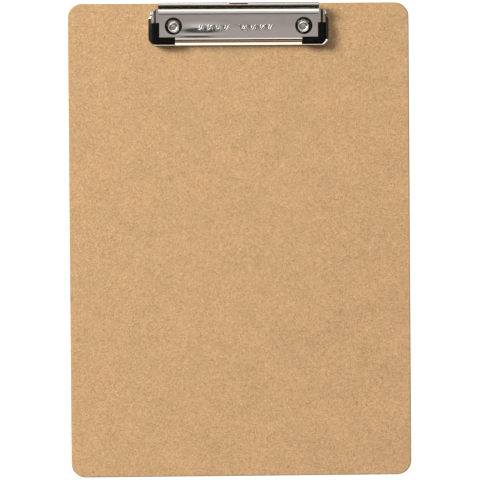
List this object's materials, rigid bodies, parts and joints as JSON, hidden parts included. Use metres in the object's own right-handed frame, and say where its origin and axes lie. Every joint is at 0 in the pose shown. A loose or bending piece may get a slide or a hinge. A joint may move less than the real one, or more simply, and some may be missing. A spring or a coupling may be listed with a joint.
{
  "type": "clipboard",
  "caption": "Hardboard clipboard with a sprung low-profile metal clip, rubber paper grips and a hanging slot in the clip's lever.",
  "frame": {"origin": "middle of the board's back face", "axes": "+Z out of the writing face, +Y along the board towards the clip, +X to the reader's right"},
  "size_m": [0.2286, 0.3174, 0.0148],
  "materials": {
    "hardboard": "pressed fibre, satin",
    "plated_base": "black zinc plate",
    "rod_steel": "bright drawn wire",
    "bright_plate": "bright nickel plate",
    "black_rubber": "moulded, satin",
    "spring_steel": "oiled spring wire",
    "eyelet_plate": "bright nickel plate",
    "washer_steel": "zinc plate"
  },
  "bodies": {
    "board": {"board": "hardboard", "base_plate": "plated_base", "hinge_rod": "rod_steel", "spring_left": "spring_steel", "spring_right": "spring_steel", "rivet_left": "eyelet_plate", "rivet_right": "eyelet_plate", "rivet_washer_left": "washer_steel", "rivet_washer_right": "washer_steel"},
    "jaw": {"jaw_plate": "bright_plate", "grip_left": "black_rubber", "grip_right": "black_rubber"}
  },
  "joints": [
    {"name": "jaw_hinge", "type": "hinge", "parent": "board", "child": "jaw", "pos_m": [0, 0.15125, 0.00655], "axis": [-1, 0, 0], "range_deg": [0, 36], "stiffness_Nm_per_rad": 0.16, "springref_deg": -34.38, "deforming": ["spring_left", "spring_right"]}
  ]
}
